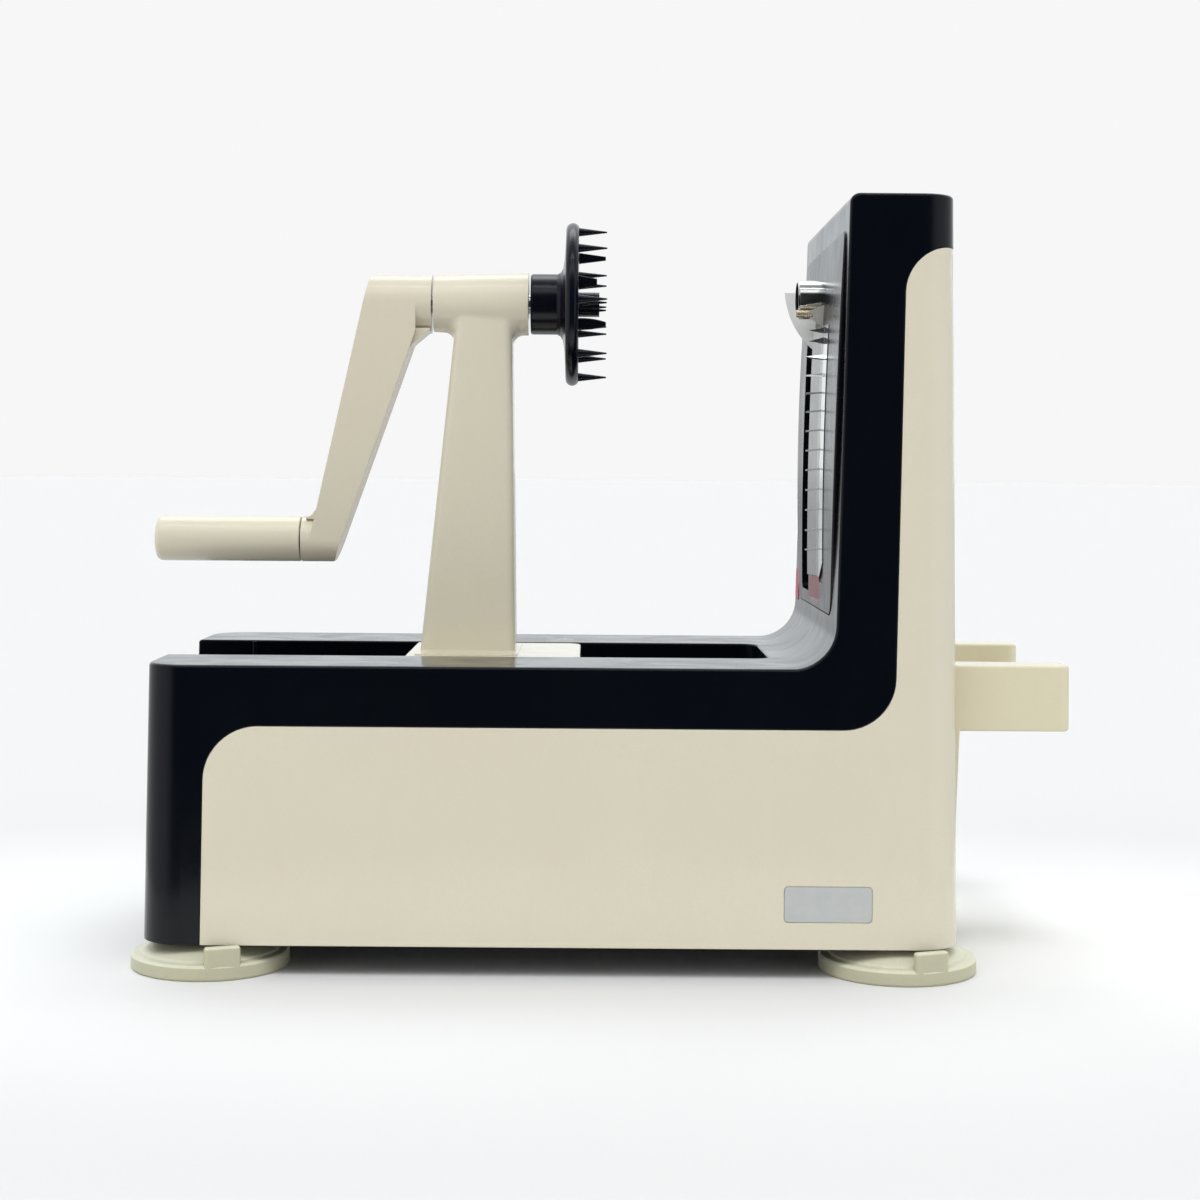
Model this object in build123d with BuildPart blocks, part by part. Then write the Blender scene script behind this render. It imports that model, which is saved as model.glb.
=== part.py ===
from build123d import *
import os
from math import cos, pi, radians, sin, sqrt, tan

os.makedirs("parts", exist_ok=True)

# ---------------------------------------------------------------- driving dimensions (mm)
# Frame: X along the crank axis, from the grip (-X) to the rear handle (+X); Z up, 0 on the table.

# L-shaped casing
left_x, rear_x = -170.45, 137.7      # both ends, at the underside
half_w = 81.2                        # half width at the underside
corner_r = 16.5                      # upright corners
z_under, z_deck, z_top = 12.0, 116.2, 294.6
draft = 0.65                         # degrees, all four sides
wall = 2.6
nook_r = 16.5                        # the deck runs up into the tower
front_x0, front_lean = 89.44, 0.0262 # tower front at deck height, and its lean
edge_r = 1.3
brow_r = 3.8                         # rounding of the tower's upper front edge

# seam between the dark upper casing and the light lower casing
seam_deck_z = 93.65
seam_left_x = (-147.0, -146.1)       # at z 0 and at seam_deck_z
seam_tower_x = (111.8, 115.2)        # at seam_deck_z and at seam_top_z
seam_top_z = 274.7
seam_left_r, seam_heel_r, seam_top_r = 20.5, 19.5, 17.5
seam_gap = 0.3

# channel in the deck for the sled
chan_half, chan_floor, chan_right = 35.0, 98.0, 68.8
groove_depth, groove_z0, groove_z1 = 2.8, 103.7, 108.9
stop_rib_x = -145.3

# blade insert in the tower
ins_z0, ins_z1 = 134.6, 281.5
ins_half_bottom, ins_half_mid, ins_half_top = 59.0, 71.6, 67.6
ins_back = 101.5
ins_face_r, ins_face_z = 1681.6, 168.61   # the face is a shallow arc in side view: radius, and height of its foremost point
ins_face_x = 89.356
win_y0, win_y1, win_z0, win_z1 = -14.0, 46.0, 140.0, 246.0
strip_y0, strip_y1 = -35.0, -21.0    # comb strip across the insert
blade_edge_y, blade_lift = 0.0, 2.2
blade_z0, blade_z1 = 146.0, 248.3
steel_t = 0.8
tooth_tip_x, tooth_t = 83.7, 0.7
tooth_z = [246.8, 242.6, 236.4, 229.1, 221.9, 214.5, 206.8, 199.0, 191.2, 183.2, 175.2, 167.1, 159.3]
tooth_roll = [75.0, 75.0, 35.0, 20.0, 6.0]   # the first teeth, next to the tube, stand twisted
tooth_dip = 6.0                              # degrees, tips lower than roots
tube_r, tube_tip_x, tube_z = 8.0, 81.9, 260.5

# crank
axis_z = 257.9
shaft_r = 4.0
bush_r = 6.0
running = 0.06                       # radial clearance of the running fits
hub_x0, hub_x1, hub_r = -94.5, -67.7, 11.7
throw = 97.0                         # shaft to grip axis
lug_x0, lug_r = -120.3, 9.25
grip_x0, grip_x1 = -179.9, -120.9
barrel_x0, barrel_x1, barrel_r0, barrel_r1 = -66.9, -28.2, 11.7, 12.9

# prong disc
disc_r, disc_front, disc_hub_x, disc_hub_r = 33.3, -7.8, -27.3, 12.4
prong_ring, prong_inner, prong_len = 29.8, 12.0, 11.5

# sled
sled_x0, sled_x1, sled_top = -75.6, -5.9, 116.0

# feet and rear handle
foot_xs, foot_y, foot_r = (-146.4, 116.2), 59.0, 30.0
arm_out, arm_in, arm_end, arm_z0, arm_z1 = 58.8, 41.8, 182.2, 91.0, 116.3

grip_z = axis_z - throw
shift_x = -(grip_x0 + arm_end) / 2   # brings the whole to X = 0 between its two ends


def save(piece, name):
    """Moves a finished piece into the centred frame, names it and writes it out."""
    piece = piece.moved(Location((shift_x, 0, 0)))
    piece.label = name
    export_step(piece, f"parts/{name}.step")


def front_x(z):
    return front_x0 + (z - z_deck) * front_lean


def side_y(z):
    """Half width of the casing at height z."""
    return half_w - (z - z_under) * tan(radians(draft))


def insert_x(z):
    """Front surface of the blade insert at height z."""
    return ins_face_x + ins_face_r - sqrt(ins_face_r**2 - (z - ins_face_z) ** 2)


def face_arc(shift, z0, z1):
    """The arc of the insert's face in side view, shifted along X, from z0 to z1."""
    zm = (z0 + z1) / 2
    return ThreePointArc((insert_x(z0) + shift, z0), (insert_x(zm) + shift, zm), (insert_x(z1) + shift, z1))


# ---------------------------------------------------------------- shapes shared by the casings
def casing_envelope(inset=0.0, soften=0.0, z_low=z_under):
    """The drafted L-shaped block, with every face moved inwards by inset."""
    with BuildPart() as env:
        with BuildSketch(Plane.XY.offset(z_low)):
            with Locations(((left_x + rear_x) / 2, 0)):
                RectangleRounded(rear_x - left_x - 2 * inset, 2 * (half_w - inset), corner_r - inset)
        extrude(amount=z_top - z_low - inset, taper=draft)
        with BuildSketch(Plane.XZ) as side:
            with BuildLine():
                Polyline(
                    (-230, z_low - 5), (-230, z_deck - inset), (front_x0 + inset, z_deck - inset),
                    (front_x(z_top - inset) + inset, z_top - inset), (230, z_top - inset), (230, z_low - 5),
                    close=True,
                )
            make_face()
            fillet(side.vertices().sort_by_distance((front_x0 + inset, z_deck - inset))[0], nook_r + inset)
            fillet(side.vertices().sort_by_distance((front_x(z_top - inset) + inset, z_top - inset))[0], brow_r - inset)
        extrude(amount=130, both=True, mode=Mode.INTERSECT)
        if soften:
            rims = []
            for e in env.edges():
                c, b = e.center(), e.bounding_box()
                on_top = b.min.Z > z_top - 0.01 and not (b.size.X < 0.5 and c.X < front_x(z_top) + brow_r + 2)
                on_brow = b.max.Z > z_top - 0.01 and b.size.Y < 0.5 and abs(c.Y) > 70 and b.max.X < front_x(z_top) + brow_r + 1
                on_deck = abs(b.min.Z - z_deck) < 0.01 and abs(b.max.Z - z_deck) < 0.01 and not (c.X > 0 and b.size.X < 0.5)
                on_front = c.X > 60 and b.min.Z > z_deck - 0.01 and b.max.X < front_x(z_top) + 0.5 and abs(c.Y) > 70
                if on_top or on_brow or on_deck or on_front:
                    rims.append(e)
            fillet(rims, soften)
    return env.part


def dark_zone(grow):
    """Everything on the dark side of the seam, seen from the side and carried through in Y."""
    with BuildPart() as zone:
        with BuildSketch(Plane.XZ) as side:
            with BuildLine():
                Polyline(
                    (-240, -20), (seam_left_x[0], -20), (seam_left_x[1], seam_deck_z),
                    (seam_tower_x[0], seam_deck_z), (seam_tower_x[1], seam_top_z),
                    (240, seam_top_z), (240, 330), (-240, 330), close=True,
                )
            make_face()
            v = side.vertices()
            fillet(v.sort_by_distance((seam_left_x[1], seam_deck_z))[0], seam_left_r)
            fillet(side.vertices().sort_by_distance((seam_tower_x[0], seam_deck_z))[0], seam_heel_r)
            fillet(side.vertices().sort_by_distance((seam_tower_x[1], seam_top_z))[0], seam_top_r)
            offset(amount=grow)
        extrude(amount=130, both=True)
    return zone.part


def deck_slot(half, x_right, r, z0, z1):
    """A slot along the deck, open at the left end, with rounded corners at the right end."""
    with BuildPart() as slot:
        with BuildSketch(Plane.XY.offset(z0)) as plan:
            with Locations(((x_right - 230) / 2, 0)):
                Rectangle(x_right + 230, 2 * half)
            fillet(plan.vertices().group_by(Axis.X)[-1], r)
        extrude(amount=z1 - z0)
    return slot.part


def insert_block(x0, x1, grow=0.0):
    """The outline of the blade insert, grown by grow, from x0 to x1."""
    with BuildPart() as block:
        with BuildSketch(Plane.YZ.offset(x0)) as face:
            with BuildLine():
                Line((-ins_half_bottom, ins_z0), (ins_half_bottom, ins_z0))
                ThreePointArc((ins_half_bottom, ins_z0), (ins_half_mid, 213.0), (ins_half_top, ins_z1))
                Line((ins_half_top, ins_z1), (-ins_half_top, ins_z1))
                ThreePointArc((-ins_half_top, ins_z1), (-ins_half_mid, 213.0), (-ins_half_bottom, ins_z0))
            make_face()
            fillet(face.vertices().group_by(Axis.Y)[-1], 4.0)
            fillet(face.vertices().group_by(Axis.Y)[0], 8.0)
            if grow:
                offset(amount=grow)
        extrude(amount=x1 - x0)
    return block.part


def insert_band(out, inn, y0, y1, z0, z1):
    """A sheet that follows the insert's face: from out in front of it to inn behind it."""
    with BuildPart() as band:
        with BuildSketch(Plane.XZ.offset(-y0)):
            with BuildLine():
                a = face_arc(-out, z0, z1)
                b = face_arc(inn, z0, z1)
                Line(a @ 0, b @ 0)
                Line(a @ 1, b @ 1)
            make_face()
        extrude(amount=-(y1 - y0))
    return band.part


hollow = casing_envelope(inset=wall, z_low=z_under - 2)
clip = casing_envelope(inset=1.0)
outer = casing_envelope(soften=edge_r)

post_spots = [(x, y) for x in (-118.0, -30.0, 58.0) for y in (-66.0, 66.0)]
pad_spots = [(x, y) for x in (-96.0, 14.0, 86.0) for y in (-72.5, 72.5)]
plate_z0, plate_z1 = 12.5, 15.1

# ---------------------------------------------------------------- upper casing: deck rails, channel, tower
with BuildPart() as channel_body:
    add(deck_slot(chan_half + groove_depth + 2.4, chan_right + 2.6, 9.0, chan_floor - 2.4, z_deck - 0.5))
    with BuildSketch(Plane.XY.offset(plate_z1 + 0.2)):
        with Locations(*post_spots):
            Circle(4.5)
    extrude(amount=z_deck - 1.5 - plate_z1)
    add(clip, mode=Mode.INTERSECT)

with BuildPart() as tunnel_body:
    add(insert_block(94.0, 130.0, 2.5))
    add(casing_envelope(inset=wall + 0.5), mode=Mode.INTERSECT)

with BuildPart() as tunnel_mouth:
    add(insert_block(86.0, 104.0, 2.5))
    add(clip, mode=Mode.INTERSECT)

with BuildPart() as upper_casing:
    add(outer)
    add(hollow, mode=Mode.SUBTRACT)
    add(dark_zone(-seam_gap / 2), mode=Mode.INTERSECT)
    add(channel_body.part)
    add(tunnel_body.part)
    add(tunnel_mouth.part)
    add(deck_slot(chan_half, chan_right, 7.0, chan_floor, z_deck + 10), mode=Mode.SUBTRACT)
    add(deck_slot(chan_half + groove_depth, chan_right, 2.0, groove_z0, groove_z1), mode=Mode.SUBTRACT)
    add(insert_block(70.0, ins_back + 0.25, 0.12), mode=Mode.SUBTRACT)
    add(insert_block(100.0, 131.0, -4.0), mode=Mode.SUBTRACT)
    # channel lips are softened
    lips = [
        e for e in upper_casing.edges()
        if abs(e.center().Z - z_deck) < 0.02 and e.bounding_box().size.Z < 0.02
        and abs(e.center().Y) < chan_half + 0.1 and e.center().X < chan_right + 1
    ]
    chamfer(lips, 0.5)
    # stop ribs at the open end of the channel
    with BuildSketch(Plane.XY.offset(chan_floor - 0.5)):
        with Locations((stop_rib_x, chan_half), (stop_rib_x, -chan_half)):
            RectangleRounded(1.6, 1.5, 0.5)
    extrude(amount=z_deck - chan_floor)
    # screw holes in the posts
    with BuildSketch(Plane.XY.offset(plate_z1)):
        with Locations(*post_spots):
            Circle(1.5)
    extrude(amount=16, mode=Mode.SUBTRACT)
save(upper_casing.part, "upper_casing")

# ---------------------------------------------------------------- lower casing
plate_plane = Plane(
    origin=(87.3, -side_y(28.7), 28.7), x_dir=(1, 0, 0), z_dir=(0, -cos(radians(draft)), sin(radians(draft)))
)
handle_screw_spots = [(y, z) for y in (-46.0, 46.0) for z in (52.0, 80.0)]
with BuildPart() as lower_casing:
    add(outer)
    add(hollow, mode=Mode.SUBTRACT)
    add(dark_zone(seam_gap / 2), mode=Mode.SUBTRACT)
    # screw pads on the side walls
    for x, y in pad_spots:
        with BuildSketch(Plane.XY.offset(plate_z1 + 0.2)):
            with Locations((x, y)):
                Circle(4.0)
            with Locations((x, y + (3.5 if y > 0 else -3.5))):
                Rectangle(3.0, 6.0)
        extrude(amount=22)
    # outlet at the back of the tower
    with BuildSketch(Plane.YZ.offset(120)):
        with Locations((0, 204.0)):
            RectangleRounded(100, 124, 5.5)
    extrude(amount=30, mode=Mode.SUBTRACT)
    # recess for the name plate
    with BuildSketch(plate_plane.offset(-0.7)):
        RectangleRounded(33.0, 13.5, 1.6)
    extrude(amount=5, mode=Mode.SUBTRACT)
    # pilot holes for the screws of the pads and of the rear handle
    with BuildSketch(Plane.XY.offset(plate_z1)):
        with Locations(*pad_spots):
            Circle(1.3)
    extrude(amount=14, mode=Mode.SUBTRACT)
    with BuildSketch(Plane.YZ.offset(125)):
        with Locations(*handle_screw_spots):
            Circle(1.6)
    extrude(amount=20, mode=Mode.SUBTRACT)
save(lower_casing.part, "lower_casing")

# ---------------------------------------------------------------- base plate
with BuildPart() as base_plate:
    with BuildSketch(Plane.XY.offset(plate_z0)):
        with Locations(((left_x + rear_x) / 2, 0)):
            RectangleRounded(
                rear_x - left_x - 2 * (wall + 0.4), 2 * (half_w - wall - 0.4), corner_r - wall
            )
    extrude(amount=plate_z1 - plate_z0)
    # stiffening ribs on the inside
    with BuildSketch(Plane.XY.offset(plate_z1)):
        for y in (-40.0, 0.0, 40.0):
            with Locations((-15.0, y)):
                Rectangle(210, 2.0)
        for x in (-75.0, 36.0):
            with Locations((x, 0)):
                Rectangle(2.0, 112)
    extrude(amount=6)
    # screw holes, countersunk from below, and the holes for the stems of the feet
    with Locations(*[(x, y, plate_z0) for x, y in post_spots + pad_spots]):
        Cylinder(1.8, 10, align=(Align.CENTER, Align.CENTER, Align.CENTER), mode=Mode.SUBTRACT)
        Cone(3.4, 1.6, 1.8, align=(Align.CENTER, Align.CENTER, Align.MIN), mode=Mode.SUBTRACT)
    with Locations(*[(x, y, plate_z0) for x in foot_xs for y in (-foot_y, foot_y)]):
        Cylinder(5.1, 10, mode=Mode.SUBTRACT)
save(base_plate.part, "base_plate")

# ---------------------------------------------------------------- casing screws, all driven from below
with BuildPart() as casing_screws:
    for (x, y), length in [(p, 14.0) for p in post_spots] + [(p, 12.0) for p in pad_spots]:
        with Locations((x, y, plate_z0 + 0.1)):
            Cone(3.2, 1.25, 1.7, align=(Align.CENTER, Align.CENTER, Align.MIN))
            Cylinder(1.25, length, align=(Align.CENTER, Align.CENTER, Align.MIN))
        with Locations((x, y, plate_z0)):
            Box(3.6, 0.8, 1.6, mode=Mode.SUBTRACT)
            Box(0.8, 3.6, 1.6, mode=Mode.SUBTRACT)
save(casing_screws.part, "casing_screws")

# ---------------------------------------------------------------- name plate, bare
with BuildPart() as name_plate:
    with BuildSketch(plate_plane.offset(-0.68)):
        RectangleRounded(32.7, 13.2, 1.5)
    extrude(amount=0.8)
    chamfer(name_plate.faces().sort_by(Axis.Y)[0].edges(), 0.15)
save(name_plate.part, "name_plate")

# ---------------------------------------------------------------- rear handle: two arms, a grip bar and a wedge-shaped mounting plate
back_lean = tan(radians(draft))


def rear_face(z):
    return rear_x - (z - z_under) * back_lean


def wedge_x(z):
    """Outer face of the mounting plate, which thins out downwards."""
    return rear_face(z) + 0.35 + 2.55 * (z - 38) / (arm_z0 - 38)


with BuildPart() as rear_handle:
    with BuildSketch(Plane.XZ.offset(-arm_out)):
        with BuildLine():
            Polyline(
                (rear_face(38) + 0.05, 38.0), (rear_face(38) + 0.35, 38.0), (rear_face(arm_z0) + 2.9, arm_z0),
                (rear_face(arm_z1) + 2.9, arm_z1), (rear_face(arm_z1) + 0.05, arm_z1), close=True,
            )
        make_face()
    extrude(amount=2 * arm_out)
    with BuildSketch(Plane.XY.offset(arm_z0)) as plan:
        for s in (-1, 1):
            with Locations(((rear_face(arm_z0) + 0.1 + arm_end) / 2, s * (arm_out + arm_in) / 2)):
                Rectangle(arm_end - rear_face(arm_z0) - 0.1, arm_out - arm_in)
    extrude(amount=arm_z1 - arm_z0)
    fillet(rear_handle.edges().filter_by(Axis.Z).filter_by(lambda e: e.center().X > arm_end - 1), 4.0)
    # grip bar between the arms, lower than their tops
    with BuildSketch(Plane.XZ.offset(-arm_in - 2)) as bar:
        with Locations((arm_end - 10.5, 100.2)):
            RectangleRounded(15.0, 14.4, 6.5)
    extrude(amount=2 * arm_in + 4)
    with BuildSketch(Plane.YZ.offset(125)):
        with Locations(*handle_screw_spots):
            Circle(1.9)
    extrude(amount=30, mode=Mode.SUBTRACT)
    # flat seats for the screw heads in the sloping plate
    for y, z in handle_screw_spots:
        with Locations(Plane(origin=(wedge_x(z) - 0.4, y, z), x_dir=(0, 1, 0), z_dir=(1, 0, 0))):
            Cylinder(3.8, 4, align=(Align.CENTER, Align.CENTER, Align.MIN), mode=Mode.SUBTRACT)
    fillet(
        rear_handle.edges().filter_by(
            lambda e: e.center().X > rear_face(arm_z0) + 4
            and (abs(e.center().Z - arm_z1) < 0.01 or abs(e.center().Z - arm_z0) < 0.01)
        ),
        1.2,
    )
save(rear_handle.part, "rear_handle")

with BuildPart() as handle_screws:
    for y, z in handle_screw_spots:
        xf = wedge_x(z) - 0.4
        with Locations(Plane(origin=(xf, y, z), x_dir=(0, 1, 0), z_dir=(1, 0, 0))):
            Cylinder(3.3, 1.7, align=(Align.CENTER, Align.CENTER, Align.MIN))
            Cylinder(1.55, 11, align=(Align.CENTER, Align.CENTER, Align.MAX))
        with Locations(Plane(origin=(xf + 1.7, y, z), x_dir=(0, 1, 0), z_dir=(1, 0, 0))):
            Box(3.8, 0.8, 1.6, mode=Mode.SUBTRACT)
            Box(0.8, 3.8, 1.6, mode=Mode.SUBTRACT)
save(handle_screws.part, "handle_screws")

# ---------------------------------------------------------------- blade insert
with BuildPart() as insert_cavity:
    add(insert_block(95.5, 104.0, -2.8))
    with BuildSketch(Plane.YZ.offset(90)):
        with Locations(((win_y0 + win_y1) / 2, (win_z0 + win_z1) / 2)):
            RectangleRounded(win_y1 - win_y0 + 5, win_z1 - win_z0 + 5, 5)
        with Locations((0, tube_z)):
            Circle(tube_r + 2.4)
        with Locations((-38.0, 197.0), (55.0, 197.0)):
            Rectangle(2.2, 140)
    extrude(amount=20, mode=Mode.SUBTRACT)

with BuildPart() as coring_tube:
    with BuildSketch(Plane.YZ.offset(tube_tip_x)):
        with Locations((0, tube_z)):
            Circle(tube_r)
            Circle(tube_r - 0.9, mode=Mode.SUBTRACT)
    extrude(amount=ins_back - tube_tip_x)
    tip = coring_tube.edges().filter_by(GeomType.CIRCLE).filter_by(
        lambda e: e.center().X < tube_tip_x + 0.1 and e.radius > tube_r - 0.1
    )
    chamfer(tip, 0.6)
save(coring_tube.part, "coring_tube")

# small fixed pin under the near side of the tube, which holds the core still
with BuildPart() as core_pin:
    with BuildSketch(Plane.YZ.offset(80.6)):
        with Locations((-8.4, 254.2)):
            Circle(1.6)
    extrude(amount=15)
    chamfer(core_pin.edges().filter_by(GeomType.CIRCLE).sort_by(Axis.X)[0], 0.35)
save(core_pin.part, "core_pin")

# upright cutting fin beside the tube
with BuildPart() as core_fin:
    with BuildSketch(Plane.XZ.offset(-17.4)):
        with BuildLine():
            a = Spline([(78.4, 264.8), (80.0, 256.8), (82.5, 250.8), (86.2, 245.3), (91.0, 240.6)])
            Polyline(a @ 1, (95.4, 240.6), (95.4, 264.8), a @ 0)
        make_face()
    extrude(amount=0.8)
save(core_fin.part, "core_fin")

# comb strip: a sheet on the insert's face with a row of thin flat teeth along its edge
with BuildPart() as comb_blade:
    add(insert_band(0.3, 0.5, strip_y0, strip_y1 - 0.1, blade_z0, blade_z1))
    with BuildSketch(Plane.YZ.offset(70)):
        with BuildLine():
            Polyline((strip_y0 - 2, blade_z0 - 2), (strip_y1 + 2, blade_z0 - 2), (strip_y1 + 2, blade_z0), (strip_y0 - 2, blade_z0 + 9), close=True)
        make_face()
    extrude(amount=40, mode=Mode.SUBTRACT)
    dip = radians(tooth_dip)
    for i, z in enumerate(tooth_z):
        xs = insert_x(z)
        roll = radians(tooth_roll[i]) if i < len(tooth_roll) else 0.0
        low, high = (1.7, 1.5) if i < 2 else (2.7, 0.45)
        reach = tooth_tip_x + (0.8 if i < 2 else 0.0) - xs
        plane = Plane(
            origin=(xs, strip_y1 - 0.6, z), x_dir=(cos(dip), 0, sin(dip)),
            z_dir=(-sin(dip) * cos(roll), -sin(roll), cos(dip) * cos(roll)),
        )
        with BuildSketch(plane):
            with BuildLine():
                Polyline((0.3, -low), (reach, 0.2), (reach, 0.4), (0.3, high), close=True)
            make_face()
        extrude(amount=tooth_t / 2, both=True)
save(comb_blade.part, "comb_blade")

# the two large upper teeth are one forked plate, upright beside the tube
with BuildPart() as coring_teeth:
    with BuildSketch(Plane.XZ.offset(12.0)):
        with BuildLine():
            Polyline(
                (96.0, 258.2), (91.9, 257.6), (85.3, 255.0), (85.3, 254.7), (88.6, 253.4), (85.9, 252.2),
                (85.9, 251.9), (90.8, 249.3), (96.0, 249.3), close=True,
            )
        make_face()
    extrude(amount=tooth_t / 2, both=True)
save(coring_teeth.part, "coring_teeth")

# slicing blade: fixed along the strip, its free edge lifted in front of the window
with BuildPart() as slicing_blade:
    sections = []
    for y, lift in ((strip_y1, 0.0), (win_y0 + 0.5, 0.15), (blade_edge_y, blade_lift)):
        with BuildSketch(Plane.XZ.offset(-y)) as sec:
            with BuildLine():
                a = face_arc(-0.3 - lift, blade_z0 + 2, blade_z1)
                b = face_arc((0.5 if y < blade_edge_y else 0.05) - lift, blade_z0 + 2, blade_z1)
                Line(a @ 0, b @ 0)
                Line(a @ 1, b @ 1)
            make_face()
        sections.append(sec.sketch)
    loft(sections=sections, ruled=True)
save(slicing_blade.part, "slicing_blade")

with BuildPart() as blade_frame:
    add(insert_block(84.0, ins_back))
    with BuildSketch(Plane.XZ):
        with BuildLine():
            s = face_arc(0, 284.0, 131.5)
            Polyline(s @ 1, (ins_back + 1, 131.5), (ins_back + 1, 284.0), s @ 0)
        make_face()
    extrude(amount=90, both=True, mode=Mode.INTERSECT)
    front_rim = [
        e for e in blade_frame.edges()
        if e.center().X < 94.5 and e.bounding_box().size.X < 6
    ]
    fillet(front_rim, 0.9)
    add(insert_cavity.part, mode=Mode.SUBTRACT)
    with BuildSketch(Plane.YZ.offset(80)):
        with Locations(((win_y0 + win_y1) / 2, (win_z0 + win_z1) / 2)):
            RectangleRounded(win_y1 - win_y0, win_z1 - win_z0, 3)
        with Locations((0, tube_z)):
            Circle(tube_r)
    extrude(amount=30, mode=Mode.SUBTRACT)
    # shallow beds for the comb strip and the fixed edge of the slicing blade
    add(insert_band(3.0, 0.55, strip_y0 - 0.05, win_y0 + 4, blade_z0 - 0.05, blade_z1 + 0.05), mode=Mode.SUBTRACT)
    # ramp that carries the lower end of the blade's lifted edge
    with BuildSketch(Plane.XY.offset(win_z0 - 1.0)):
        with BuildLine():
            Polyline(
                (ins_face_x + 0.3, win_y0 - 6.5), (ins_face_x - blade_lift + 0.35, blade_edge_y), (ins_face_x - blade_lift + 0.9, blade_edge_y + 0.9),
                (ins_face_x + 3.0, blade_edge_y + 0.9), (ins_face_x + 3.0, win_y0 - 6.5), close=True,
            )
        make_face()
    extrude(amount=blade_z0 + 1.9 - win_z0 + 1.0)
    # the steel pieces are moulded in
    for steel in (core_pin, core_fin, coring_teeth):
        add(steel.part, mode=Mode.SUBTRACT)
save(blade_frame.part, "blade_frame")

# plain red mark that lines the insert up with the tower
with BuildPart() as align_marks:
    with BuildSketch(Plane.XZ.offset(-70.5)):
        with BuildLine():
            Polyline(
                (front_x(133.0) - 0.45, 133.0), (front_x(144.0) - 0.45, 144.0),
                (front_x(144.0), 144.0), (front_x(133.0), 133.0), close=True,
            )
        make_face()
    extrude(amount=-5.0)
save(align_marks.part, "align_marks")

# ---------------------------------------------------------------- suction feet
foot_names = {}
for fx, xname in zip(foot_xs, ("front", "rear")):
    for side, yname in ((-1, "near"), (1, "far")):
        with BuildPart() as foot:
            with BuildSketch(Plane.XZ) as prof:
                with BuildLine():
                    Polyline(
                        (0, 4.6), (10, 4.2), (18, 2.6), (23.5, 0.0), (29.2, 0.0), (30.0, 0.9), (30.0, 5.0),
                        (29.1, 5.9), (26.4, 6.2), (25.8, 6.9), (22.5, 8.3), (17.0, 10.6), (11.0, 11.9),
                        (5.0, 12.2), (5.0, 15.3), (7.2, 15.7), (5.6, 17.6), (0, 18.4), close=True,
                    )
                make_face()
            revolve(axis=Axis.Z)
            turn = radians(18.5)
            with BuildSketch(Plane(origin=(27.9 * sin(turn), side * 27.9 * cos(turn), 3.0), x_dir=(cos(turn), -side * sin(turn), 0), z_dir=(0, 0, 1))) as tab:
                Rectangle(13.4, 3.4)
                fillet(tab.vertices(), 1.2)
            extrude(amount=9.6)
            top = foot.faces().filter_by(Axis.Z).filter_by(lambda f: abs(f.center().Z - 12.6) < 0.01)
            fillet(top.edges(), 1.1)
        foot_part = foot.part.moved(Location((fx, side * foot_y, 0)))
        with BuildPart() as suction_foot:
            add(foot_part)
        name = f"suction_foot_{xname}_{yname}"
        save(suction_foot.part, name)
        foot_names[name] = suction_foot.part

# ---------------------------------------------------------------- sled
with BuildPart() as sled_plate:
    with BuildSketch(Plane.XY.offset(109.4)) as plan:
        with Locations(((sled_x0 + sled_x1) / 2, 0)):
            Rectangle(sled_x1 - sled_x0, 2 * (chan_half - 0.3))
        fillet(plan.vertices().group_by(Axis.X)[-1], 6.7)
        fillet(plan.vertices().group_by(Axis.X)[0], 1.0)
    extrude(amount=sled_top - 109.4)
    fillet(sled_plate.faces().sort_by(Axis.Z)[-1].edges(), 0.8)
    with BuildSketch(Plane.XY.offset(104.0)) as runner:
        with Locations(((sled_x0 + sled_x1) / 2, 0)):
            RectangleRounded(sled_x1 - sled_x0 - 2, 2 * (chan_half + groove_depth - 0.35), 2)
    extrude(amount=4.6)
    with BuildSketch(Plane.XY.offset(108.0)):
        with Locations(((sled_x0 + sled_x1) / 2, 0)):
            Rectangle(sled_x1 - sled_x0 - 6, 2 * (chan_half - 1.5))
    extrude(amount=2.0)
    # underside hollowed between ribs
    with BuildSketch(Plane.XY.offset(103.0)):
        with Locations((-62.0, 17.5), (-62.0, -17.5), (-18.0, 17.5), (-18.0, -17.5)):
            RectangleRounded(15, 28, 2)
    extrude(amount=9.5, mode=Mode.SUBTRACT)
    with Locations(*[(x, y, 100.0) for x in (-66.0, -36.0) for y in (-8.0, 8.0)]):
        Cylinder(1.9, 40, mode=Mode.SUBTRACT)
save(sled_plate.part, "sled_plate")

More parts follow.
